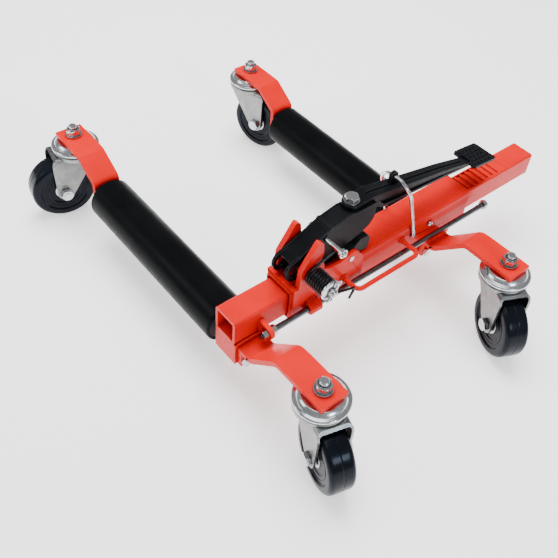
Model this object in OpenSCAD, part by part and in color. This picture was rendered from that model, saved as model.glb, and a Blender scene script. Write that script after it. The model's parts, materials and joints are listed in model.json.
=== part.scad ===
// Ratcheting wheel positioning dolly: two rollers on a telescoping square beam,
// four swivel casters on cranked arms, and a foot lever with a ratchet.
// Millimetres, +Z up, beam along X, rollers along +Y, floor at z = 0.

/* [Beam] */
// Distance between the two roller axes as shown
roller_gap = 342; // [330:1:360]
// Outer width of the square inner bar
bar_w = 40; // [38:1:40]
// Wall of the inner bar
bar_t = 4; // [3:0.5:4]
// Outer width of the square outer sleeve
sleeve_w = 50; // [50:1:52]
// Wall of the outer sleeve
sleeve_t = 4; // [3.5:0.5:4]
// Height of the beam's centre line above the floor
beam_z = 117; // [116:1:118]
// Start of the sleeve, from the first roller axis
sleeve_x0 = 60; // [60:1:60]
// End of the sleeve
sleeve_x1 = 414; // [405:1:425]
// Far end of the inner bar
bar_x1 = 577; // [560:1:590]

/* [Rollers] */
// Roller outer radius
roller_r = 33; // [31:0.5:33]
// Roller tube wall
roller_t = 4; // [3:0.5:5]
// Height of the roller axes
roller_z = 81; // [80:1:82]
// Near end of the rollers
roller_y0 = 27; // [27:1:30]
// Far end of the rollers
roller_y1 = 331; // [310:1:331]
// Roller shaft radius
shaft_r = 10; // [10:1:10]

/* [Arms and casters] */
// Distance of the rear caster stems from the beam centre
rear_y = 428; // [426:1:432]
// Distance of the front caster stems from the beam centre
front_y = 156; // [154:1:160]
// Width of the arm flat bar
arm_w = 42; // [38:1:44]
// Thickness of the arm flat bar
arm_t = 8; // [6:1:8]
// Top of the arms above the floor
arm_top = 139; // [139:1:139]
// Caster wheel radius
wheel_r = 50; // [46:1:50]
// Caster wheel width
wheel_w = 36; // [30:1:36]
// Offset of the wheel axle behind the stem
trail = 31; // [28:1:33]
// Swivel direction of the rear caster by the first roller, degrees
swivel_ar = 169; // [0:1:359]
// Swivel direction of the rear caster by the second roller, degrees
swivel_br = 285; // [0:1:359]
// Swivel direction of the front caster by the first roller, degrees
swivel_af = 253; // [0:1:359]
// Swivel direction of the front caster by the second roller, degrees
swivel_bf = 244; // [0:1:359]

/* [Ratchet and lever] */
// Tooth pitch of the rack
pitch = 12; // [12:1:12]
// Depth of the rack teeth
tooth_h = 3; // [2:0.5:3]
// Lever pivot pin radius
pin_r = 6; // [5:0.5:6]
// Lock hoop wire diameter
hoop_d = 5.5; // [5:0.5:6]
// Carry handle rod diameter
handle_d = 7; // [6:0.5:7]
// Stop rod diameter
rod_d = 8; // [7:0.5:8]

/* [Hidden] */
$fn = 64;
ox = 247.63;   // shift that puts the origin under the centre of the box
oy = 114.01;
xb = roller_gap;
bh = bar_w/2;
sh = sleeve_w/2;
piv = [88, 168];          // lever pivot in x, z
pawl_p = [118, 158];      // drive pawl pin
hold_p = [160, 152];      // hold pawl pin
rod_y = -37; rod_z = 109.8;
groove0 = 118.5;          // first groove centre
run = 0.05;               // running clearance on a radius
arm_mid = arm_top - arm_t/2;

red = [0.86,0.12,0.08]; black = [0.06,0.06,0.07]; zinc = [0.72,0.73,0.74];

function arc(cx,cy,r,a0,a1,n=10) = [for(i=[0:n]) let(a=a0+(a1-a0)*i/n) [cx+r*cos(a), cy+r*sin(a)]];
function rrect(w,h,r) = concat(arc(w/2-r,h/2-r,r,0,90,5), arc(-w/2+r,h/2-r,r,90,180,5), arc(-w/2+r,-h/2+r,r,180,270,5), arc(w/2-r,-h/2+r,r,270,360,5));
function unit(v) = v/norm(v);
function nrm(v) = [-v[1],v[0]];
// path with rounded corners: r is the bend radius of the middle line
function bend(p,r,n=6) = [for(i=[0:len(p)-1]) each (i==0||i==len(p)-1) ? [p[i]] :
   let(a=unit(p[i-1]-p[i]), b=unit(p[i+1]-p[i]), h=acos(a*b)/2, d=r/tan(h), c=p[i]+unit(a+b)*r/sin(h), s=p[i]+a*d, e=p[i]+b*d,
       a0=atan2(s[1]-c[1],s[0]-c[0]), a1=atan2(e[1]-c[1],e[0]-c[0]), da=((a1-a0+540)%360)-180)
   [for(k=[0:n]) let(t=a0+da*k/n) c+r*[cos(t),sin(t)]]];
function strip(p,t) = let(m=len(p)-1, nn=[for(i=[0:m]) let(u=unit(i==0?p[1]-p[0]:p[i]-p[i-1]), v=unit(i==m?p[m]-p[m-1]:p[i+1]-p[i]), w=unit(nrm(u)+nrm(v))) w/(w*nrm(v))])
   concat([for(i=[0:m]) p[i]+nn[i]*t/2],[for(i=[m:-1:0]) p[i]-nn[i]*t/2]);

module place() translate([-ox,-oy,0]) children();
module xz(y0,y1,pts) translate([0,y1,0]) rotate([90,0,0]) linear_extrude(y1-y0) polygon(pts);
module yz(x0,x1,pts) translate([x0,0,0]) rotate([90,0,90]) linear_extrude(x1-x0) polygon(pts);
module xcyl(r,x0,x1,y,z) translate([x0,y,z]) rotate([0,90,0]) cylinder(r=r,h=x1-x0);
module ycyl(r,y0,y1,x,z) translate([x,y1,z]) rotate([90,0,0]) cylinder(r=r,h=y1-y0);
module box(x0,x1,y0,y1,z0,z1) translate([x0,y0,z0]) cube([x1-x0,y1-y0,z1-z0]);
// hexagon prism along Z with chamfered corners
module hex(af,h) intersection() { cylinder(r=af/sqrt(3),h=h,$fn=6); rotate_extrude() polygon([[0,0],[af/2*1.03,0],[af/2*1.15,af*0.06],[af/2*1.15,h-af*0.06],[af/2*1.0,h],[0,h]]); }
module tube_bar(x0,x1,w,t,r) translate([x0,0,beam_z]) rotate([90,0,90]) linear_extrude(x1-x0) difference() { polygon(rrect(w,w,r)); polygon(rrect(w-2*t,w-2*t,max(r-t,1))); }

// ---- sleeve side ----
module outer_sleeve() color(red) place() difference() {
  tube_bar(sleeve_x0,sleeve_x1,sleeve_w,sleeve_t,5);
  box(101,180,-11,11,beam_z+sh-sleeve_t-1,beam_z+sh+1);
  for(s=[-1,1]) { ycyl(4.6,s>0?20:-30,s>0?30:-20,290,121); ycyl(4,s>0?20:-30,s>0?30:-20,325,125); }
}
z_top = beam_z + sh;
ear_top = concat([[68,150],[70,180],[93.5,215.6],[96.2,217.6],[102.6,212.4],[104,206],[105,192],[103,186.5]], arc(88,168,21,44,-12,6));
function side_plate() = concat([[64,104],[64,150]], ear_top, [[122,158],[140,156],[150,161]], arc(162,152,12,120,20,6), [[182,146],[186,104]]);
function ear() = concat([[66,z_top]], ear_top, [[116,z_top]]);
function far_ear() = concat([[66,z_top]], ear_top, [[122,158],[140,156],[150,161]], arc(162,152,12,120,20,6), [[182,146],[184,z_top]]);
module ratchet_bracket() color(red) place() difference() {
  union() {
    xz(-30,-25,side_plate()); xz(-26,-22,ear()); xz(14.5,22.5,far_ear());
    box(61,67,-30,25,z_top,150);
    box(67,98,-30,25,z_top,z_top+4);
    box(61,64.5,-30,-25,98,z_top+4);
  }
  ycyl(pin_r,-40,40,piv[0],piv[1]);
  ycyl(4,-40,40,hold_p[0],hold_p[1]);
}
module bracket_plates(x0,x1,pts) {
  difference() { xz(-22,-14,pts); ycyl(shaft_r,-40,40,x0,roller_z); for(s=[-1,1]) ycyl(4,-40,40,x0+s*13,68); }
  difference() { xz(12,20,pts); ycyl(shaft_r,-40,40,x0,roller_z); }
}
module nut_room(x) for(s=[-1,1]) ycyl(8.4,-14,-3.5,x+s*13,68);
module roller_b_bracket() color(red) place() difference() { union() {
  p = [[xb-36,92],[xb-34,84],[xb-26,66],[xb-20,60],[xb+34,60],[xb+44,66],[xb+50,84],[xb+64,92]];
  bracket_plates(xb,0,p);
  box(xb-24,xb-16,-14,12,60,92);
  box(xb+20,xb+28,-14,12,60,92);
} nut_room(xb); }
module shaft(x) { ycyl(shaft_r,-22,333.6,x,roller_z); ycyl(8,333.6,351,x,roller_z); }
module roller_b_shaft() color(zinc) place() shaft(xb);
module front_arm(x) difference() {
  union() {
    yz(x-arm_w/2,x+arm_w/2, strip(bend([[-22,88],[-45,88],[-94,arm_mid],[-front_y-21,arm_mid]],16), arm_t));
    box(x-arm_w/2,x+arm_w/2,-30,-22,60,86);
  }
  translate([x,-front_y,100]) cylinder(r=6,h=60);
  for(s=[-1,1]) ycyl(4,-40,-10,x+s*13,68);
}
module rear_arm(x) difference() {
  yz(x-arm_w/2,x+arm_w/2, strip(bend([[338,62],[338,110],[377,arm_mid],[rear_y+20,arm_mid]],9), arm_t));
  translate([x,rear_y,100]) cylinder(r=6,h=60);
  ycyl(8,320,360,x,roller_z);
}
module front_arm_b() color(red) place() front_arm(xb);
module rear_arm_b() color(red) place() rear_arm(xb);
module arm_bolts(x) {
  for(s=[-1,1]) translate([x+s*13,0,68]) { ycyl(4,-30,-4,0,0); translate([0,-30,0]) rotate([90,0,0]) hex(13,5.5); translate([0,-7.3,0]) rotate([90,0,0]) difference() { hex(13,6.5); translate([0,0,-1]) cylinder(r=4,h=9); } }
  translate([x,342+7,roller_z]) rotate([90,0,0]) difference() { hex(24,7); translate([0,0,-1]) cylinder(r=8,h=14); }
}
module arm_bolts_b() color(zinc) place() arm_bolts(xb);
hx0 = 150; hx1 = 268; hy = 59;   // handle legs in x, and how far its bar stands out
module carry_handle() color(red) place() translate([0,0,121.5]) {
  r=9;
  for(i=[0,1]) translate([[hx0,hx1][i],-[30,25][i],0]) rotate([90,0,0]) cylinder(d=handle_d,h=hy-[30,25][i]-r);
  translate([hx0+r,-hy,0]) rotate([0,90,0]) cylinder(d=handle_d,h=hx1-hx0-2*r);
  translate([hx0+r,-hy+r,0]) rotate([0,0,180]) rotate_extrude(angle=90) translate([r,0]) circle(d=handle_d);
  translate([hx1-r,-hy+r,0]) rotate([0,0,270]) rotate_extrude(angle=90) translate([r,0]) circle(d=handle_d);
}
module rod_guide() color(red) place() difference() {
  union() { xcyl(9,82,101,rod_y,rod_z); box(82,101,rod_y,-30,rod_z-9,rod_z+9); }
  xcyl(rod_d/2+run,70,120,rod_y,rod_z);
  box(70,120,-30,0,90,130);
}
module lever_pivot_pin() color(zinc) place() difference() {
  union() { ycyl(pin_r,-70,26,piv[0],piv[1]); ycyl(9,23,27,piv[0],piv[1]); translate([piv[0],-70,piv[1]]) sphere(r=pin_r); }
  translate([piv[0],-70,piv[1]]) rotate([0,35,0]) cylinder(r=1.6,h=40,center=true);
}
module spring_cap() color(zinc) place() difference() {
  translate([piv[0],-63.5,piv[1]]) rotate([90,0,0]) rotate_extrude() polygon([[pin_r+0.05,0],[15,0],[15,1.6],[13,2.8],[9,3.6],[pin_r+0.05,3.6]]);
}
module split_pin() color(zinc) place() translate([piv[0],-70,piv[1]]) rotate([0,35,0]) {
  cylinder(r=1.5,h=30,center=true); translate([0,0,15]) rotate([90,0,0]) rotate_extrude() translate([3,0]) circle(r=1.3);
  translate([0,0,-14.4]) rotate([0,55,0]) cylinder(r=1.3,h=8);
}
// spring wire: a helix about the pivot pin with two straight legs
spr_c = [piv[0],piv[1]]; spr_r = 12.3; spr_w = 3.8; turns = 6.388; spr_y0 = -33.2; spr_y1 = -60.9;
function hel(t) = let(a=111.7+360*turns*t) [spr_c[0]+spr_r*cos(a), spr_y0+(spr_y1-spr_y0)*t, spr_c[1]+spr_r*sin(a)];
spr_path = concat([[124,-33.2,195.4],[104,-33.2,187.5]], [for(i=[0:120]) hel(i/120)], [[101,-61.1,150.6],[118,-61.6,144.9],[133,-62,139.9],[136.6,-62,137.6],[136.6,-61.9,133.6],[131,-61.4,121.5]]);
module sweep(p,r,k=8) {
  m=len(p);
  T=[for(i=[0:m-1]) unit(p[min(i+1,m-1)]-p[max(i-1,0)])];
  pts=[for(i=[0:m-1]) let(yv=[0,1,0], e1=unit(cross(T[i],yv)), e2=cross(T[i],e1)) each [for(j=[0:k-1]) p[i]+r*(cos(360*j/k)*e1+sin(360*j/k)*e2)]];
  faces=concat([[for(j=[0:k-1]) j]],[[for(j=[k-1:-1:0]) (m-1)*k+j]],
    [for(i=[0:m-2],j=[0:k-1]) each [[i*k+j,(i+1)*k+j,(i+1)*k+(j+1)%k],[i*k+j,(i+1)*k+(j+1)%k,i*k+(j+1)%k]]]);
  polyhedron(pts,faces);
}
module torsion_spring() color(black) place() sweep(spr_path,spr_w/2);
module hold_pawl_pin() color(zinc) place() { ycyl(4,-30.6,23,hold_p[0],hold_p[1]); }
module sleeve_rivets() color(zinc) place() for(s=[-1,1]) { ycyl(3.2,s>0?21.3:-27.5,s>0?27.5:-21.3,325,125); translate([325,s*27,125]) sphere(r=4.2); }
module caster_bolt(x,y) translate([x,y,0]) {
  translate([0,0,104]) hex(18,6); translate([0,0,109]) cylinder(r=6,h=46.5); translate([0,0,155.5]) cylinder(r1=6,r2=5,h=1);
  difference() { translate([0,0,arm_top]) cylinder(r=12.5,h=2.5); translate([0,0,arm_top-1]) cylinder(r=6,h=5); }
  difference() { union() { translate([0,0,arm_top+2.5]) hex(19,9); translate([0,0,arm_top+11]) cylinder(r=8,h=2); } translate([0,0,arm_top]) cylinder(r=6,h=20); }
}
module races(x) for(y=[-front_y,rear_y]) translate([x,y,0]) difference() {
  rotate_extrude() polygon(concat([[0,119]],[[33,119]],arc(33.5,122,3,-80,90,8),[[31,126],[29,129],[26,arm_top-arm_t],[0,arm_top-arm_t]]));
  translate([0,0,100]) cylinder(r=6,h=60);
}
module caster_bolts_b() color(zinc) place() { caster_bolt(xb,-front_y); caster_bolt(xb,rear_y); }
module swivel_races_b() color(zinc) place() races(xb);

// ---- bar side ----
module inner_bar() color(red) place() difference() {
  tube_bar(-25,bar_x1,bar_w,bar_t,4);
  box(98,512,-16,16,beam_z+bh-bar_t-1,beam_z+bh+1);
}
module rack_strip() color(red) place() difference() {
  box(98,512,-16,16,beam_z+bh-8,beam_z+bh-0.2);
  for(i=[-1:31]) xz(-20,20,[[groove0+i*pitch-4,beam_z+bh+1],[groove0+i*pitch-2.6,beam_z+bh-tooth_h],[groove0+i*pitch+3.2,beam_z+bh-tooth_h],[groove0+i*pitch+3.4,beam_z+bh+1]]);
}
module roller_a_bracket() color(red) place() difference() { union() {
  bracket_plates(0,0,[[-25,60],[22,60],[22,97],[-25,97]]);
  box(-25,-16,-14,12,60,97);
  box(14,22,-14,12,60,97);
} nut_room(0); }
module roller_a_shaft() color(zinc) place() shaft(0);
module front_arm_a() color(red) place() front_arm(0);
module rear_arm_a() color(red) place() rear_arm(0);
module arm_bolts_a() color(zinc) place() arm_bolts(0);
module stop_rod() color(zinc) place() { xcyl(rod_d/2,4,446,rod_y,rod_z); }
module stop_rod_nuts() color(zinc) place() for(x=[6,20.2,438]) translate([x,rod_y,rod_z]) rotate([0,90,0]) difference() { hex(13,6.8); translate([0,0,-1]) cylinder(r=rod_d/2,h=9); }
module rod_lug() color(red) place() difference() {
  yz(13,20, concat([[-20,rod_z-11],[-20,rod_z+12],[rod_y+4,rod_z+10]], arc(rod_y,rod_z,9.5,90,270,10), [[rod_y+4,rod_z-10]]));
  xcyl(rod_d/2,0,40,rod_y,rod_z);
}
module caster_bolts_a() color(zinc) place() { caster_bolt(0,-front_y); caster_bolt(0,rear_y); }
module swivel_races_a() color(zinc) place() races(0);

// ---- rollers ----
module roller(x) translate([x,roller_y1,roller_z]) rotate([90,0,0]) rotate_extrude($fn=96)
  let(h=roller_y1-roller_y0,r=roller_r,i=roller_r-roller_t,f=3.4) polygon(concat([[i,0.4],[i+0.4,0]],arc(r-f,f,f,-90,0,6),arc(r-f,h-f,f,0,90,6),[[i+0.4,h],[i,h-0.4]]));
module bushes(x) for(y=[roller_y0+2,roller_y1-14]) difference() { ycyl(roller_r-roller_t,y,y+12,x,roller_z); ycyl(shaft_r+run,y-1,y+13,x,roller_z); }
module roller_a_tube() color(black) place() roller(0);
module roller_a_bushes() color([0.2,0.2,0.2]) place() bushes(0);
module roller_b_tube() color(black) place() roller(xb);
module roller_b_bushes() color([0.2,0.2,0.2]) place() bushes(xb);

// ---- casters, built with the stem on Z and the wheel trailing along +X ----
module at(x,y,a) translate([x,y,0]) rotate([0,0,a]) children();
module caster_fork() difference() {
  union() {
    rotate_extrude() polygon(concat([[0,113],[31,113],[31,108],[33.5,108]],[[35,110]],arc(32,115,3,0,90,6),[[0,118]]));
    intersection() {
      yz(-23,50, concat([[-23.5,30]], arc(-16.5,107,7,180,90,6), arc(16.5,107,7,90,0,6), [[23.5,30],[20.5,30]], arc(16.5,107,4,0,90,4), arc(-16.5,107,4,90,180,4), [[-20.5,30]]));
      xz(-30,30, concat([[-22,115],[36,115],[41.5,110.5],[44.2,104],[44.6,96],[44,52]], arc(trail,50,13,0,-150,12), [[12.5,53],[5,65],[-3.5,77.5],[-12,89],[-18.5,99],[-22,108]]));
    }
  }
  translate([0,0,90]) cylinder(r=6+run,h=40);
  ycyl(5,-40,40,trail,50);
}
module caster_axle() {
  ycyl(5,-30,33,trail,50);
  translate([trail,-24,50]) rotate([90,0,0]) hex(17,6);
  translate([trail,32,50]) rotate([90,0,0]) difference() { hex(17,8); translate([0,0,-1]) cylinder(r=5,h=10); }
}
module caster_wheel() translate([trail,0,50]) rotate([90,0,0]) rotate_extrude($fn=96)
  let(w=wheel_w/2,r=wheel_r) polygon(concat([[15,-w+4],[24,-w+4],[26,-w+2.5],[36,-w+2.5],[38,-w]], arc(r-7,-w+7,7,-75,-12,5), [[r-0.05,-7],[r,-0.8],[r-0.5,0],[r,0.8],[r-0.05,7]], arc(r-7,w-7,7,12,75,5), [[38,w],[36,w-2.5],[26,w-2.5],[24,w-4],[15,w-4]]));
module caster_hub() translate([trail,0,50]) rotate([90,0,0]) rotate_extrude() polygon([[5+run,-19.6],[9,-19.6],[9.5,-17.5],[15,-16.5],[15,16.5],[9.5,17.5],[9,19.6],[5+run,19.6]]);
module fork_ar() color(zinc) place() at(0,rear_y,swivel_ar) caster_fork();
module fork_br() color(zinc) place() at(xb,rear_y,swivel_br) caster_fork();
module fork_af() color(zinc) place() at(0,-front_y,swivel_af) caster_fork();
module fork_bf() color(zinc) place() at(xb,-front_y,swivel_bf) caster_fork();
module axle_ar() color(zinc) place() at(0,rear_y,swivel_ar) caster_axle();
module axle_br() color(zinc) place() at(xb,rear_y,swivel_br) caster_axle();
module axle_af() color(zinc) place() at(0,-front_y,swivel_af) caster_axle();
module axle_bf() color(zinc) place() at(xb,-front_y,swivel_bf) caster_axle();
module wheel_ar() color(black) place() at(0,rear_y,swivel_ar) caster_wheel();
module wheel_br() color(black) place() at(xb,rear_y,swivel_br) caster_wheel();
module wheel_af() color(black) place() at(0,-front_y,swivel_af) caster_wheel();
module wheel_bf() color(black) place() at(xb,-front_y,swivel_bf) caster_wheel();
module hub_ar() color(zinc) place() at(0,rear_y,swivel_ar) caster_hub();
module hub_br() color(zinc) place() at(xb,rear_y,swivel_br) caster_hub();
module hub_af() color(zinc) place() at(0,-front_y,swivel_af) caster_hub();
module hub_bf() color(zinc) place() at(xb,-front_y,swivel_bf) caster_hub();

// ---- lever ----
top_edge = [[80,191],[126,212],[158,219],[206,219]];
ly0 = -17; ly1 = 12;      // sides of the lever channel
function body_side() = concat(arc(72,172,17,118,270,10), arc(88,168,19.8,-100,-60,5), [[114,153],[150,167],[186,177],[198,184],[206,195]], [[206,219],[158,219],[126,212],[80,191]]);
module lever_body() color(black) place() difference() {
  union() {
    xz(ly0,ly0+4,body_side()); xz(ly1-4,ly1,body_side());
    xz(ly0,ly1, strip(bend([[66,183.6],[80,189],[126,210],[158,217],[206,217]],12,4),4));
    xz(ly0,ly1,[[123,208],[126,214.5],[129.5,215.6],[133,210]]);
    ycyl(11,ly0,ly1,piv[0],piv[1]);
    ycyl(8,ly0,ly1,174,208);
    ycyl(8,ly0,ly0+7,pawl_p[0],pawl_p[1]+1); ycyl(8,ly1-7,ly1,pawl_p[0],pawl_p[1]+1);
    xz(ly0,ly1,[[196,186],[204,192],[204,216],[200,216]]);
  }
  ycyl(pin_r+run,-40,40,piv[0],piv[1]);
  ycyl(4,-40,40,119,201);
  ycyl(3.5+run,-40,40,pawl_p[0],pawl_p[1]);
  xz(ly0-1,ly1+1,concat(arc(68.5,171.5,8.5,90,290,12),[[77,164.5],[78,178]]));
  translate([174,0,190]) cylinder(r=5,h=60);
}
hoop_top = [254.61, 228.0];
function handle_side() = [[160,219],[206,219],[212,205],[226,197],[262,193.5],[352,186.2],[404,180.5],[418,179.8],[418,184.6],[404,187.6],[352,199.5],[240,219.6],[206,226],[160,226]];
module lever_handle() color(black) place() difference() {
  union() {
  xz(1,6,concat(arc(hoop_top[0],hoop_top[1],7,200,-20,12),[[hoop_top[0]+8,212],[hoop_top[0]-8,212]]));
  intersection() {
    xz(-13,13,handle_side());
    union() { translate([174,0,150]) cylinder(r=13,h=120); translate([174,0,100]) linear_extrude(150) polygon([[0,-13],[60,-12],[246,-8.5],[246,8.5],[60,12],[0,13]]); }
  }
  }
  ycyl(3.55,0,8,hoop_top[0],hoop_top[1]);
  xz(-1.8,0.9,[[198,240],[198,223.6],[240,216.2],[352,196.3],[402,185.6],[402,240]]);
  for(s=[-1,1]) translate([0,s*12.6,0]) xz(-4.4,4.4,[[215,213],[228,201],[262,197.5],[352,190.2],[390,186.2],[390,187.2],[352,193.6],[240,213.6],[222,216.4]]);
  translate([174,0,190]) cylinder(r=5,h=60);
  box(415.4,425,-20,20,183.3,195); box(416.8,425,-20,20,170,195);
}
module pedal_plate() color(black) place() translate([435,0,184]) rotate([0,5,0]) {
  union() {
    translate([0,0,-2]) linear_extrude(4) polygon(concat(arc(22,18,4,0,90,4),arc(-21,18,4,90,180,4),[[-25,10],[-19,8],[-19,-8],[-25,-10]],arc(-21,-18,4,180,270,4),arc(22,-18,4,270,360,4)));
    for(i=[-2:2],j=[-2:2]) if(!(i<-1&&j==0)) translate([i*8.4+(j%2==0?0:4.2)-1,j*7.6,1.5]) cylinder(r=2.4,h=1.9);
    translate([-17,-8.4,-5.5]) cube([16,16.8,4]);
  }
}
module lever_bolt() color(zinc) place() translate([174,0,0]) { translate([0,0,228]) hex(17,6.4); translate([0,0,226]) cylinder(r=11,h=2); translate([0,0,200]) cylinder(r=5,h=27); }
module spring_peg() color(zinc) place() { ycyl(4,-47,12.2,119,201); ycyl(6.5,-50,-45.5,119,201); translate([119,-49.5,201]) sphere(r=4.4); ycyl(6.5,12,14,119,201); }
module lock_hoop() color(zinc) place() translate([290,0,121]) rotate([0,-18.3,0]) {
  h = 112.5-24; w = 28.2;
  for(s=[-1,1]) { translate([0,s*w,0]) cylinder(d=hoop_d,h=h-4); translate([0,s*w,0]) sphere(d=hoop_d); translate([0,s*(w-1.1),0]) rotate([s*90,0,0]) cylinder(d=hoop_d-0.6,h=1.4); }
  translate([0,0,h-4]) rotate([90,0,90]) rotate_extrude(angle=180) translate([w,0]) circle(d=hoop_d);
}
module drive_pawl() color(zinc) place() difference() {
  union() {
    ycyl(7,-9.6,4.6,pawl_p[0],pawl_p[1]);
    xz(-9,4,[[113.5,154.1],[122.5,161.9],[137.2,144],[136.6,140],[133.6,138.9],[129,142.6]]);
    ycyl(3.5,-16.9,11.9,pawl_p[0],pawl_p[1]);
  }
}
module hold_pawl() color(black) place() difference() {
  union() {
    ycyl(7.5,-21,10,hold_p[0],hold_p[1]);
    xz(-9,9,[[158,145.2],[158,159],[150,156],[139.4,143.5],[138.6,138.5],[142.4,138.5],[146,142],[152,145]]);
    xz(-21,-9,concat([[160,145.2],[176,146.8],[186,144.6],[197,145],[200,149]],arc(194,162,6,0,80,5),[[182,168.5],[172,160],[160,159.2]]));
  }
  ycyl(4+run,-40,40,hold_p[0],hold_p[1]);
}

outer_sleeve();
ratchet_bracket();
roller_b_bracket();
roller_b_shaft();
front_arm_b();
rear_arm_b();
arm_bolts_b();
carry_handle();
rod_guide();
lever_pivot_pin();
spring_cap();
split_pin();
torsion_spring();
hold_pawl_pin();
sleeve_rivets();
caster_bolts_b();
swivel_races_b();
inner_bar();
rack_strip();
roller_a_bracket();
roller_a_shaft();
front_arm_a();
rear_arm_a();
arm_bolts_a();
stop_rod();
stop_rod_nuts();
rod_lug();
caster_bolts_a();
swivel_races_a();
roller_a_tube();
roller_a_bushes();
roller_b_tube();
roller_b_bushes();
fork_ar();
fork_br();
fork_af();
fork_bf();
axle_ar();
axle_br();
axle_af();
axle_bf();
wheel_ar();
wheel_br();
wheel_af();
wheel_bf();
hub_ar();
hub_br();
hub_af();
hub_bf();
lever_body();
lever_handle();
pedal_plate();
lever_bolt();
spring_peg();
lock_hoop();
drive_pawl();
hold_pawl();
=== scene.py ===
import json, math, random
import bpy, bmesh
from mathutils import Matrix, Vector

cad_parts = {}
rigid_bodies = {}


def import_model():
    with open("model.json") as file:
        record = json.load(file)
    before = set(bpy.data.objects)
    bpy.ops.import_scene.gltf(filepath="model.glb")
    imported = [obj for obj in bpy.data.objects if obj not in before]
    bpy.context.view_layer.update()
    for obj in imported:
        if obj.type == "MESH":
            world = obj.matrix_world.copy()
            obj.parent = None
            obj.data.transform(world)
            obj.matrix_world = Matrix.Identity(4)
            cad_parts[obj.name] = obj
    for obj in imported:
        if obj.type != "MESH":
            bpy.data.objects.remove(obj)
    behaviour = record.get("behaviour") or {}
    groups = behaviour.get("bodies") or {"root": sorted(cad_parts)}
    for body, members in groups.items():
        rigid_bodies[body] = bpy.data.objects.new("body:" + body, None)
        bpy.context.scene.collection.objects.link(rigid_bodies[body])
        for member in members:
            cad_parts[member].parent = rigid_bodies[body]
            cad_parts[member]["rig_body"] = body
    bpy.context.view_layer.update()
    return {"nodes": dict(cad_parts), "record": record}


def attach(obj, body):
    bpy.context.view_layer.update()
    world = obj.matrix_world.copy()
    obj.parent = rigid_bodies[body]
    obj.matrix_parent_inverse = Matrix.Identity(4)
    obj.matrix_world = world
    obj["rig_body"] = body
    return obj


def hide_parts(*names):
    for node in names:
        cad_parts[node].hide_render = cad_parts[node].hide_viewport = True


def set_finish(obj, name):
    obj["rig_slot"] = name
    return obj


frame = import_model()
N = frame["nodes"]
OX, OY = 0.24763, 0.11401          # the CAD model's shift, so that plan sizes can be used here
def P(x, y, z):                     # design millimetres to row metres
    return Vector((x / 1000 - OX, y / 1000 - OY, z / 1000))

# ------------------------------------------------------------------ camera
cam_data = bpy.data.cameras.new("camera")
cam = bpy.data.objects.new("camera", cam_data)
bpy.context.scene.collection.objects.link(cam)
right, up, back = (0.760046, -0.644486, 0.083478), (0.416468, 0.581648, 0.698741), (-0.498884, -0.496309, 0.710487)
loc = (-0.622479, -0.585147, 0.843580)
cam.matrix_world = Matrix((
    (right[0], up[0], back[0], loc[0]),
    (right[1], up[1], back[1], loc[1]),
    (right[2], up[2], back[2], loc[2]),
    (0, 0, 0, 1)))
cam_data.sensor_width = 36.0
cam_data.lens = 36.0 * 736.21 / 558
cam_data.shift_x = -0.0435
cam_data.shift_y = -0.0416
cam_data.clip_start = 0.01
bpy.context.scene.camera = cam

# ------------------------------------------------------------------ materials
def new_mat(name):
    m = bpy.data.materials.new(name)
    m.use_nodes = True
    nt = m.node_tree
    return m, nt, nt.nodes["Principled BSDF"]

def link(nt, a, b):
    nt.links.new(a, b)

def coords(nt, scale=(1, 1, 1), rot=(0, 0, 0)):
    tc = nt.nodes.new("ShaderNodeTexCoord")
    mp = nt.nodes.new("ShaderNodeMapping")
    mp.inputs["Scale"].default_value = scale
    mp.inputs["Rotation"].default_value = rot
    link(nt, tc.outputs["Object"], mp.inputs["Vector"])
    return mp.outputs["Vector"]

def noise(nt, vec, scale, detail=3.0, rough=0.5):
    n = nt.nodes.new("ShaderNodeTexNoise")
    n.inputs["Scale"].default_value = scale
    n.inputs["Detail"].default_value = detail
    n.inputs["Roughness"].default_value = rough
    link(nt, vec, n.inputs["Vector"])
    return n.outputs["Fac"]

def ramp(nt, fac, stops):
    r = nt.nodes.new("ShaderNodeValToRGB")
    e = r.color_ramp.elements
    while len(e) < len(stops):
        e.new(0.5)
    for el, (p, c) in zip(e, stops):
        el.position = p
        el.color = tuple(c) + (1,) if len(c) == 3 else c
    link(nt, fac, r.inputs["Fac"])
    return r.outputs["Color"]

def rng(nt, fac, lo, hi, a=0.3, b=0.7):
    r = nt.nodes.new("ShaderNodeMapRange")
    r.inputs["From Min"].default_value = a
    r.inputs["From Max"].default_value = b
    r.inputs["To Min"].default_value = lo
    r.inputs["To Max"].default_value = hi
    link(nt, fac, r.inputs["Value"])
    return r.outputs["Result"]

def mixc(nt, fac, a, b, mode="MIX"):
    m = nt.nodes.new("ShaderNodeMix")
    m.data_type = "RGBA"
    m.blend_type = mode
    if isinstance(fac, (int, float)):
        m.inputs["Factor"].default_value = fac
    else:
        link(nt, fac, m.inputs["Factor"])
    for s, v in ((6, a), (7, b)):
        if isinstance(v, (tuple, list)):
            m.inputs[s].default_value = tuple(v) + (1,) if len(v) == 3 else v
        else:
            link(nt, v, m.inputs[s])
    return m.outputs[2]

def bump(nt, bsdf, heights):
    prev = None
    for h, dist, strength in heights:
        b = nt.nodes.new("ShaderNodeBump")
        b.inputs["Distance"].default_value = dist
        b.inputs["Strength"].default_value = strength
        link(nt, h, b.inputs["Height"])
        if prev:
            link(nt, prev, b.inputs["Normal"])
        prev = b.outputs["Normal"]
    link(nt, prev, bsdf.inputs["Normal"])

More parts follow.
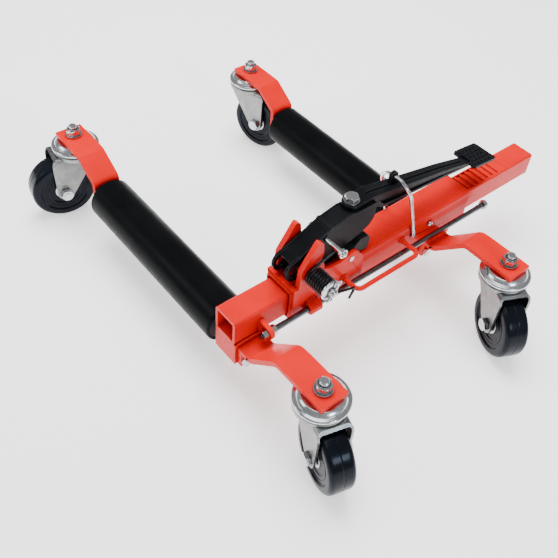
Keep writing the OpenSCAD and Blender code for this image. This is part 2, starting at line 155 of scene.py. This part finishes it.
def edges(nt, radius=0.0012, lo=0.995, hi=0.90):
    """1 on outer edges, 0 on faces, measured at each shading point from a bevelled normal."""
    bv = nt.nodes.new("ShaderNodeBevel")
    bv.samples = 4
    bv.inputs["Radius"].default_value = radius
    g = nt.nodes.new("ShaderNodeNewGeometry")
    d = nt.nodes.new("ShaderNodeVectorMath")
    d.operation = "DOT_PRODUCT"
    link(nt, bv.outputs["Normal"], d.inputs[0])
    link(nt, g.outputs["True Normal"], d.inputs[1])
    return rng(nt, d.outputs["Value"], 1.0, 0.0, hi, lo)

def painted_gap_shade(nt, dist=0.010, lo=0.25, hi=0.85):
    """Painted shade mask from ambient occlusion: 1 in corners and under washers, 0 on open faces."""
    ao = nt.nodes.new("ShaderNodeAmbientOcclusion")
    ao.samples = 5
    ao.inputs["Distance"].default_value = dist
    return rng(nt, ao.outputs["AO"], 1.0, 0.0, lo, hi)

def powder(name, base, dark, light, rough, coat, peel=0.00012, coat_rough=0.12, edge_highlight=None, spec=0.5, gap_shade_depth=0.55):
    """Powder coat: orange peel, faint mottling, a painted highlight that lightens the edges, painted shade that
    darkens the corners.
    """
    m, nt, p = new_mat(name)
    v = coords(nt)
    mott = noise(nt, v, 14.0, 4.0)
    col = ramp(nt, mott, [(0.3, dark), (0.5, base), (0.72, light)])
    # painted highlight: outer edges lightened towards a lighter edge colour
    col = mixc(nt, edges(nt), col, edge_highlight or light)
    # painted shade: corners, gaps and spots under washers darkened towards the dark tone
    col = mixc(nt, painted_gap_shade(nt), col, tuple(c * gap_shade_depth for c in dark))
    link(nt, col, p.inputs["Base Color"])
    link(nt, rng(nt, noise(nt, v, 60.0, 3.0), rough - 0.05, rough + 0.07), p.inputs["Roughness"])
    p.inputs["Coat Weight"].default_value = coat
    p.inputs["Coat Roughness"].default_value = coat_rough
    p.inputs["Specular IOR Level"].default_value = spec
    peel_h = noise(nt, v, 520.0, 2.0)
    spec_h = noise(nt, v, 2100.0, 1.0)
    bump(nt, p, [(peel_h, peel, 0.35), (spec_h, peel * 0.2, 0.25)])
    return m

def metal(name, base, rough, streak=None, tint=None, scratch=0.00002, aniso=0.0, contrast=0.14):
    """Plated or drawn steel with roughness clouds, fine scratches and a faint passivation tint."""
    m, nt, p = new_mat(name)
    v = coords(nt)
    sv = coords(nt, scale=streak or (1, 1, 1))
    cloud = noise(nt, v, 45.0, 4.0)
    lines = noise(nt, sv, 300.0, 3.0)
    a = tuple(c * (1 - contrast) for c in base)
    b = tuple(min(1, c * (1 + contrast * 0.6)) for c in base)
    col = ramp(nt, cloud, [(0.28, a), (0.55, base), (0.75, b)])
    if tint:
        col = mixc(nt, rng(nt, noise(nt, v, 120.0, 2.0), 0.0, 0.45, 0.45, 0.75), col, tint)
    # painted shade: corners and gaps darkened to a quarter of the base colour
    col = mixc(nt, painted_gap_shade(nt, 0.006, 0.2, 0.75), col, tuple(c * 0.25 for c in base))
    link(nt, col, p.inputs["Base Color"])
    p.inputs["Metallic"].default_value = 1.0
    r = nt.nodes.new("ShaderNodeMath")
    r.operation = "ADD"
    link(nt, rng(nt, lines, -0.05, 0.07), r.inputs[0])
    link(nt, rng(nt, cloud, rough - 0.05, rough + 0.06), r.inputs[1])
    link(nt, r.outputs[0], p.inputs["Roughness"])
    p.inputs["Anisotropic"].default_value = aniso
    bump(nt, p, [(lines, scratch, 0.5), (noise(nt, v, 900.0, 2.0), scratch, 0.3)])
    return m

M = {}
M["red_paint"] = powder("red_powder_coat", (0.72, 0.0045, 0.0035), (0.63, 0.003, 0.0025), (0.78, 0.007, 0.005), 0.31, 0.06, edge_highlight=(0.86, 0.030, 0.018), spec=0.10, coat_rough=0.12)
M["black_paint"] = powder("black_satin_coat", (0.0050, 0.0055, 0.0066), (0.0032, 0.0036, 0.0044), (0.0090, 0.0100, 0.0118), 0.33, 0.03, peel=0.00009, coat_rough=0.2, edge_highlight=(0.030, 0.033, 0.040), spec=0.075)
M["roller_black"] = powder("roller_black_enamel", (0.0032, 0.0038, 0.0042), (0.0024, 0.0029, 0.0032), (0.0048, 0.0056, 0.0062), 0.34, 0.02, peel=0.00006, coat_rough=0.2, edge_highlight=(0.012, 0.014, 0.016), spec=0.04)
M["zinc"] = metal("bright_zinc", (0.60, 0.615, 0.63), 0.20, tint=(0.66, 0.72, 0.82), contrast=0.22)
M["fork_zinc"] = metal("fork_zinc_pressing", (0.25, 0.255, 0.253), 0.32, streak=(6, 6, 0.25), tint=(0.38, 0.39, 0.375), scratch=0.00004, contrast=0.18)
M["rod_steel"] = metal("drawn_rod_steel", (0.15, 0.16, 0.17), 0.28, streak=(0.15, 6, 6), scratch=0.00003)
M["hub_steel"] = metal("hub_steel", (0.66, 0.66, 0.67), 0.22)
M["pawl_steel"] = powder("pawl_black_oxide", (0.008, 0.008, 0.010), (0.005, 0.005, 0.006), (0.018, 0.018, 0.021), 0.38, 0.02, edge_highlight=(0.05, 0.05, 0.06), spec=0.14)
M["spring_black"] = powder("spring_oiled_black", (0.0030, 0.0030, 0.0036), (0.002, 0.002, 0.0024), (0.006, 0.006, 0.007), 0.22, 0.05, peel=0.00004, edge_highlight=(0.008, 0.008, 0.010), spec=0.25)
M["bush_plastic"] = powder("bush_nylon", (0.012, 0.013, 0.016), (0.008, 0.009, 0.011), (0.02, 0.021, 0.025), 0.5, 0.0, spec=0.3)

def wheel_mat():
    m, nt, p = new_mat("wheel_gloss_tread")
    v = coords(nt)
    col = ramp(nt, noise(nt, v, 22.0, 4.0), [(0.3, (0.0030, 0.0036, 0.0055)), (0.6, (0.0046, 0.0058, 0.0090)), (0.8, (0.0080, 0.0100, 0.0150))])
    link(nt, col, p.inputs["Base Color"])
    link(nt, rng(nt, noise(nt, v, 90.0, 3.0), 0.17, 0.27), p.inputs["Roughness"])
    p.inputs["Specular IOR Level"].default_value = 0.10
    p.inputs["Specular Tint"].default_value = (0.72, 0.82, 1.0, 1)
    p.inputs["Coat Weight"].default_value = 0.06
    p.inputs["Coat Roughness"].default_value = 0.10
    p.inputs["Coat Tint"].default_value = (0.9, 0.95, 1.0, 1)
    bump(nt, p, [(noise(nt, v, 160.0, 2.0), 0.00008, 0.3)])
    return m
M["wheel_black"] = wheel_mat()

slot_of = {s["node"]: s["material_slot"] for s in frame["record"]["subparts"]}
BEVEL = {"zinc": 0.4, "hub_steel": 0.5, "fork_zinc": 0.8, "red_paint": 1.1, "black_paint": 1.0, "pawl_steel": 0.6, "roller_black": 0.0, "wheel_black": 0.3, "bush_plastic": 0.4, "rod_steel": 0.5, "spring_black": 0.0}
for name, o in N.items():
    m = M[slot_of[name]]
    o.data.materials.clear()
    o.data.materials.append(m)
    w = o.modifiers.new("weld", "WELD")
    w.merge_threshold = 0.00001
    bw = BEVEL[slot_of[name]]
    if bw > 0:
        b = o.modifiers.new("bevel", "BEVEL")
        b.limit_method = "ANGLE"
        b.angle_limit = math.radians(32)
        b.width = bw / 1000
        b.segments = 3
        b.use_clamp_overlap = True
        b.harden_normals = False
    for poly in o.data.polygons:
        poly.use_smooth = True
    s = o.modifiers.new("smooth", "WEIGHTED_NORMAL")
    s.keep_sharp = True

# ------------------------------------------------------------------ finer pieces
R = random.Random(7)

def unit(v):
    return v / max(v.length, 1e-9)

def sweep(name, pts, rad, slot, body, segs=12, closed=False):
    """Round bar along design points; rad is one radius in mm or a list of them."""
    p = [P(*q) for q in pts]
    n = len(p)
    rr = [r / 1000 for r in (rad if isinstance(rad, (list, tuple)) else [rad] * n)]
    T = []
    for i in range(n):
        if closed:
            T.append(unit(p[(i + 1) % n] - p[i - 1]))
        else:
            T.append(unit(p[min(i + 1, n - 1)] - p[max(i - 1, 0)]))
    ref = Vector((0, 0, 1)) if abs(T[0].z) < 0.8 else Vector((1, 0, 0))
    e1 = unit(T[0].cross(ref))
    bm = bmesh.new()
    rings = []
    for i in range(n):
        e1 = unit(e1 - T[i] * e1.dot(T[i]))
        e2 = T[i].cross(e1)
        rings.append([bm.verts.new(p[i] + (e1 * math.cos(2 * math.pi * k / segs) + e2 * math.sin(2 * math.pi * k / segs)) * rr[i]) for k in range(segs)])
    for i in range(n if closed else n - 1):
        a, b = rings[i], rings[(i + 1) % n]
        off = 0
        if closed and i == n - 1:
            off = min(range(segs), key=lambda o: (a[0].co - b[o].co).length)
        for k in range(segs):
            bm.faces.new((a[k], a[(k + 1) % segs], b[(k + 1 + off) % segs], b[(k + off) % segs]))
    if not closed:
        bm.faces.new(list(reversed(rings[0])))
        bm.faces.new(rings[-1])
    bmesh.ops.recalc_face_normals(bm, faces=bm.faces)
    me = bpy.data.meshes.new(name)
    bm.to_mesh(me)
    bm.free()
    for q in me.polygons:
        q.use_smooth = len(q.vertices) == 4
    me.materials.append(M[slot])
    o = bpy.data.objects.new(name, me)
    bpy.context.scene.collection.objects.link(o)
    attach(o, body)
    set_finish(o, slot)
    return o

def join(name, objs):
    """Several small pieces of one body and one finish become one piece."""
    bm = bmesh.new()
    for o in objs:
        t = o.data.copy()
        t.transform(o.matrix_world)
        bm.from_mesh(t)
        bpy.data.meshes.remove(t)
    me = bpy.data.meshes.new(name)
    bm.to_mesh(me)
    bm.free()
    slot, body = objs[0]["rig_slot"], objs[0]["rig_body"]
    for o in objs:
        bpy.data.objects.remove(o)
    me.materials.append(M[slot])
    o = bpy.data.objects.new(name, me)
    bpy.context.scene.collection.objects.link(o)
    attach(o, body)
    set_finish(o, slot)
    return o

def circle(c, axis, r, n=40):
    ax = unit(Vector(axis))
    u = unit(ax.cross(Vector((0, 0, 1)) if abs(ax.z) < 0.8 else Vector((1, 0, 0))))
    v = ax.cross(u)
    c = Vector(c)
    return [tuple(c + (u * math.cos(2 * math.pi * k / n) + v * math.sin(2 * math.pi * k / n)) * r) for k in range(n)]

def ring(name, c, axis, big, small, slot, body, n=40, segs=8):
    return sweep(name, circle(c, axis, big, n), small, slot, body, segs=segs, closed=True)

def bead(name, a, b, r, body):
    """A weld bead under paint: overlapping ripples of slightly uneven size."""
    a, b = Vector(a), Vector(b)
    L = (b - a).length
    n = max(6, int(L / 0.8))
    pts, rad = [], []
    for i in range(n + 1):
        t = i / n
        s = t * L
        ends = min(1.0, math.sqrt(max(0.03, min(s, L - s) / (r * 1.6))))
        rad.append(r * ends * (0.90 + 0.13 * abs(math.sin(math.pi * s / 2.9)) + R.uniform(-0.03, 0.03)))
        pts.append(tuple(a.lerp(b, t) + Vector((R.uniform(-0.12, 0.12), R.uniform(-0.12, 0.12), R.uniform(-0.12, 0.12)))))
    return sweep(name, pts, rad, "red_paint", body, segs=10)

def bead_ring(name, c, axis, big, r, body):
    pts = circle(c, axis, big, 44)
    rad = [r * (0.88 + 0.16 * abs(math.sin(math.pi * i * 0.41)) + R.uniform(-0.04, 0.04)) for i in range(44)]
    return sweep(name, pts, rad, "red_paint", body, segs=10, closed=True)

# torsion spring in round wire: the coil and lower leg stay with the sleeve, the upper leg turns with the lever
PV = (88.0, 168.0)
def coil(t, r=12.3):
    a = math.radians(111.7 + 360 * 6.388 * t)
    return (PV[0] + r * math.cos(a), -33.2 + (-60.9 + 33.2) * t, PV[1] + r * math.sin(a))
def rounded(pts, r, n=8):
    """Polyline with its inner corners turned into arcs."""
    out = [Vector(pts[0])]
    for i in range(1, len(pts) - 1):
        p, a, b = Vector(pts[i]), Vector(pts[i - 1]), Vector(pts[i + 1])
        u, v = unit(a - p), unit(b - p)
        h = math.acos(max(-1, min(1, u.dot(v)))) / 2
        d = min(r / math.tan(h), (a - p).length * 0.48, (b - p).length * 0.48)
        s, e = p + u * d, p + v * d
        for k in range(n + 1):
            t = k / n
            out.append(s * (1 - t) ** 2 + p * 2 * t * (1 - t) + e * t ** 2)
    out.append(Vector(pts[-1]))
    return [tuple(q) for q in out]
wire = 1.9
turns = [coil(i / 330) for i in range(331)]
low = rounded([turns[-1], (101, -61.1, 150.6), (118, -61.6, 144.9), (138.2, -62.0, 138.2), (131.0, -61.4, 121.5)], 3.4)[1:]
coil_piece = sweep("spring_coil", turns + low, wire, "spring_black", "sleeve", segs=14)
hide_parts("torsion_spring")
arc_pts = [coil(i / 330) for i in range(9, -1, -1)]
leg = [arc_pts[0]] + arc_pts[1:]
top = [(93.5, -33.2, 183.4), (104, -33.2, 187.5), (116.5, -33.3, 192.5), (124.4, -33.5, 195.6)]
sweep("spring_upper_leg", leg + rounded([leg[-1]] + top, 3.0)[1:], wire - 0.02, "spring_black", "lever", segs=14)

# pressed lips along the lever's top edges
for side, y in (("near", -15.9), ("far", 10.9)):
    sweep("lever_lip_" + side, rounded([(76.5, y, 189.6), (80, y, 191.3), (126, y, 212.3), (158, y, 219.2), (168, y, 219.3)], 9.0), [0.5] + [1.05] * (len(rounded([(0, 0, 0), (1, 0, 0), (2, 1, 0), (3, 1, 1), (4, 2, 2)], 0.1)) - 2) + [0.5], "black_paint", "lever", segs=10)

xb = 342
# weld beads
sl, ba = [], []
for s_, (x0, body, acc) in {"a": (0, "bar", ba), "b": (xb, "sleeve", sl)}.items():
    if s_ == "a":
        acc.append(bead("w", (-23, -21.0, 97.3), (21, -21.0, 97.3), 1.7, body))
        acc.append(bead("w", (-23, 20.6, 97.2), (21, 20.6, 97.2), 1.7, body))
        acc.append(bead("w", (22.4, -20.5, 97.0), (22.4, 20.0, 97.0), 1.6, body))
    else:
        acc.append(bead("w", (x0 - 34, -22.6, 92.2), (x0 + 62, -22.6, 92.2), 1.8, body))
        acc.append(bead("w", (x0 - 34, 20.8, 91.6), (x0 + 62, 20.8, 91.6), 1.8, body))
ba.append(bead("w", (12.8, -20.8, 100.3), (12.8, -20.8, 120.3), 1.4, "bar"))
ba.append(bead("w", (20.2, -20.8, 100.3), (20.2, -20.8, 120.3), 1.4, "bar"))
sl.append(bead("w", (66, -26.0, 103.8), (183, -26.0, 103.8), 1.6, "sleeve"))
sl.append(bead("w", (186.3, -26.0, 105), (182.6, -26.0, 144), 1.5, "sleeve"))
sl.append(bead("w", (68, 23.0, 146.2), (116, 23.0, 142.6), 1.5, "sleeve"))
sl.append(bead("w", (118, 23.0, 142.4), (182, 23.0, 142.4), 1.5, "sleeve"))
sl.append(bead("w", (68, -21.4, 146.4), (97, -21.4, 146.4), 1.5, "sleeve"))
sl.append(bead("w", (60.7, -23.5, 142.5), (60.7, 23.5, 142.5), 1.3, "sleeve"))
sl.append(bead("w", (98.6, -20.5, 142.6), (98.6, 14.0, 142.6), 1.4, "sleeve"))
sl.append(bead("w", (83, -30.6, 119.2), (100, -30.6, 119.2), 1.5, "sleeve"))
sl.append(bead("w", (83, -30.6, 100.4), (100, -30.6, 100.4), 1.5, "sleeve"))
sl.append(bead_ring("w", (150, -30.8, 121.5), (0, 1, 0), 4.3, 1.5, "sleeve"))
sl.append(bead_ring("w", (268, -25.8, 121.5), (0, 1, 0), 4.3, 1.6, "sleeve"))
join("weld_beads_sleeve", sl)
join("weld_beads_bar", ba)

# thread tips and nylon rings of the stem nuts, and the rod's threaded ends
def helix(c, axis, r, pitch, n_turn, step=16):
    ax = unit(Vector(axis))
    u = unit(ax.cross(Vector((0, 0, 1)) if abs(ax.z) < 0.8 else Vector((1, 0, 0))))
    v = ax.cross(u)
    c = Vector(c)
    N_ = int(n_turn * step)
    return [tuple(c + ax * (pitch * i / step) + (u * math.cos(2 * math.pi * i / step) + v * math.sin(2 * math.pi * i / step)) * r) for i in range(N_ + 1)]
for key, x0, body in (("a", 0, "bar"), ("b", xb, "sleeve")):
    ny, th = [], []
    for y0 in (-156, 428):
        ny.append(ring("n", (x0, y0, 151.9), (0, 0, 1), 6.75, 0.7, "bush_plastic", body, n=48, segs=10))
        th.append(sweep("t", helix((x0, y0, 152.4), (0, 0, 1), 5.75, 1.25, 2.4, 24), 0.5, "zinc", body, segs=6))
    for s_ in (-1, 1):
        th.append(sweep("t", helix((x0 + s_ * 13, -7.0, 68), (0, 1, 0), 3.85, 1.25, 2.2, 20), 0.42, "zinc", body, segs=6))
    join("nut_nylon_rings_" + key, ny)
    join("bolt_threads_" + key, th)
rt = [sweep("t", helix((27.4, -37, 109.8), (1, 0, 0), 3.9, 1.25, 13, 18), 0.4, "rod_steel", "bar", segs=6),
      sweep("t", helix((424, -37, 109.8), (1, 0, 0), 3.9, 1.25, 10.5, 18), 0.4, "rod_steel", "bar", segs=6),
      sweep("t", helix((445.3, -37, 109.8), (1, 0, 0), 3.7, 1.0, 0.6, 18), 0.4, "rod_steel", "bar", segs=6)]
join("rod_threads", rt)

# wheel details: mould ring on both faces
for k, (x, y, a) in {"ar": (0, 428, 169), "br": (xb, 428, 285), "af": (0, -156, 253), "bf": (xb, -156, 244)}.items():
    t = math.radians(a)
    c = Vector((x + 31 * math.cos(t), y + 31 * math.sin(t), 50))
    ax = Vector((-math.sin(t), math.cos(t), 0))
    rs = []
    for s_ in (-1, 1):
        rs.append(ring("m", tuple(c + ax * s_ * 15.6), tuple(ax), 30.5, 0.45, "wheel_black", "wheel_body_" + k, n=72, segs=6))
    join("wheel_mould_rings_" + k, rs)

# ------------------------------------------------------------------ stage
def stage():
    me = bpy.data.meshes.new("floor")
    bm = bmesh.new()
    bmesh.ops.create_grid(bm, x_segments=2, y_segments=2, size=6.0)
    bm.to_mesh(me)
    bm.free()
    fl = bpy.data.objects.new("floor", me)
    bpy.context.scene.collection.objects.link(fl)
    m, nt, p = new_mat("floor_white")
    p.inputs["Base Color"].default_value = (0.95, 0.95, 0.95, 1)
    p.inputs["Roughness"].default_value = 0.8
    p.inputs["Specular IOR Level"].default_value = 0.1
    p.inputs["Emission Color"].default_value = (1, 1, 1, 1)
    p.inputs["Emission Strength"].default_value = 0.95
    me.materials.append(m)
    fl.location.z = -0.0005
    def area(name, loc, size, power, target=(0, 0, 0.1), col=(1, 1, 1), glossy=True):
        l = bpy.data.lights.new(name, "AREA")
        l.shape = "RECTANGLE"
        l.size, l.size_y = size
        l.energy = power
        l.color = col
        o = bpy.data.objects.new(name, l)
        bpy.context.scene.collection.objects.link(o)
        o.location = loc
        o.visible_glossy = glossy
        d = Vector(target) - Vector(loc)
        o.rotation_euler = d.to_track_quat("-Z", "Y").to_euler()
    area("key_top", (0.25, 0.75, 2.6), (1.8, 1.8), 120, glossy=False)
    area("key_glint", (-0.35, -0.2, 2.6), (1.4, 1.4), 20)
    area("left_soft", (-2.2, 1.3, 1.7), (1.2, 1.0), 16)
    area("right_soft", (1.9, -1.9, 1.6), (1.2, 1.2), 6, glossy=False)
    area("front_strip", (-0.2, -2.4, 1.35), (0.6, 0.6), 17, col=(0.76, 0.87, 1.0))
    w = bpy.data.worlds.new("world")
    bpy.context.scene.world = w
    w.use_nodes = True
    bg = w.node_tree.nodes["Background"]
    bg.inputs["Color"].default_value = (1, 1, 1, 1)
    wt = w.node_tree
    lp = wt.nodes.new("ShaderNodeLightPath")
    st = wt.nodes.new("ShaderNodeMapRange")      # the backdrop looks as pale as the floor, and lights gently
    st.inputs["To Min"].default_value = 0.38
    st.inputs["To Max"].default_value = 2.3
    wt.links.new(lp.outputs["Is Camera Ray"], st.inputs["Value"])
    wt.links.new(st.outputs["Result"], bg.inputs["Strength"])
stage()
